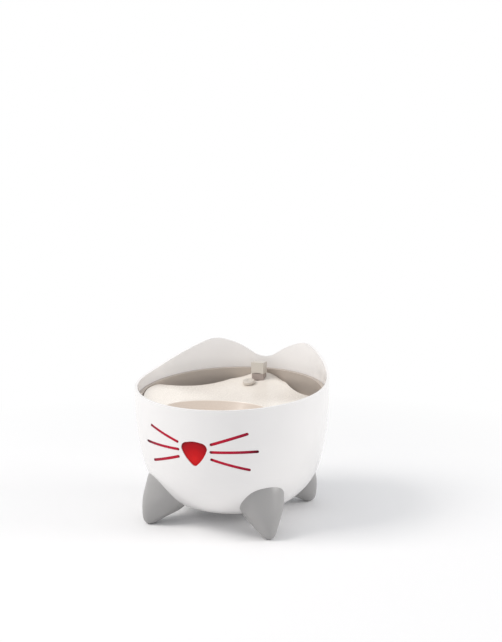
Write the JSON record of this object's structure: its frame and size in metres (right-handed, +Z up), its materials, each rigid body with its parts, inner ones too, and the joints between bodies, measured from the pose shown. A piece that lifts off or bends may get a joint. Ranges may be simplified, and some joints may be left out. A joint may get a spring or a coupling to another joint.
{
  "type": "pet water fountain",
  "caption": "Round white pet water fountain with cat-ear back wall, red nose and whisker lights, grey ear-shaped feet, lift-out tank, pump, filter and a flowing drinking top with a spout.",
  "frame": {"origin": "on the ground under the bowl's axis, at the middle of the four feet", "axes": "+Z up, -Y towards the front with the nose, +X to the right seen from the front"},
  "size_m": [0.247, 0.247, 0.2093],
  "materials": {
    "shell_white": "gloss white",
    "foot_grey": "satin grey",
    "tank_taupe": "satin taupe",
    "top_cream": "satin cream",
    "light_red": "translucent red",
    "whisker_red": "dark red",
    "spout_grey": "satin light grey",
    "post_mauve": "satin mauve grey",
    "pump_black": "moulded black",
    "impeller_white": "moulded white",
    "magnet": "sintered ferrite",
    "shaft_ceramic": "ground ceramic",
    "rubber_black": "moulded",
    "hose_clear": "milky silicone",
    "filter_plastic": "moulded light grey",
    "carbon": "dark felt",
    "foam": "open foam",
    "steel": "plated",
    "brass": "plated",
    "board_green": "solder mask",
    "lamp": "encapsulated",
    "inlet_black": "moulded",
    "lead_black": "insulation"
  },
  "bodies": {
    "shell": {"outer_shell": "shell_white", "foot_front_right": "foot_grey", "foot_rear_right": "foot_grey", "foot_rear_left": "foot_grey", "foot_front_left": "foot_grey", "foot_screws": "steel", "board_screws": "steel", "whisker_insert": "whisker_red", "nose_lens": "light_red", "led_board": "board_green", "lamp_chips": "lamp", "led_screws": "steel", "power_board": "board_green", "dock_contacts": "brass", "power_inlet": "inlet_black", "inlet_lead": "lead_black", "led_lead": "lead_black"},
    "tank": {"water_tank": "tank_taupe", "contact_pins": "brass", "contact_seals": "rubber_black", "pump_shaft": "shaft_ceramic", "pump_body": "pump_black", "pump_cover": "pump_black", "shaft_bushes": "rubber_black", "suction_cups": "rubber_black", "riser_hose": "hose_clear", "filter_case": "filter_plastic"},
    "rotor": {"rotor_magnet": "magnet", "impeller": "impeller_white"},
    "cartridge": {"cartridge_frame": "filter_plastic", "carbon_pouch": "carbon", "foam_pad": "foam"},
    "top": {"drinking_top": "top_cream", "spout_post": "post_mauve"},
    "knob": {"flow_knob": "top_cream", "knob_clip": "steel"},
    "cap": {"spout_cap": "spout_grey"}
  },
  "joints": [
    {"name": "tank_lift", "type": "slide", "parent": "shell", "child": "tank", "axis": [0, 0, 1], "range_m": [0, 0.2]},
    {"name": "rotor_spin", "type": "hinge", "parent": "tank", "child": "rotor", "pos_m": [0, 0.037, 0.044], "axis": [0, 1, 0], "continuous": true},
    {"name": "cartridge_lift", "type": "slide", "parent": "tank", "child": "cartridge", "axis": [0, 0, 1], "range_m": [0, 0.047]},
    {"name": "top_lift", "type": "slide", "parent": "tank", "child": "top", "axis": [0, 0, 1], "range_m": [0, 0.085]},
    {"name": "knob_turn", "type": "hinge", "parent": "top", "child": "knob", "pos_m": [-0.0075, 0.079, 0.15291], "axis": [0, -0.225, 0.9744], "range_deg": [0, 90]},
    {"name": "cap_lift", "type": "slide", "parent": "top", "child": "cap", "axis": [0, 0, 1], "range_m": [0, 0.012]}
  ]
}
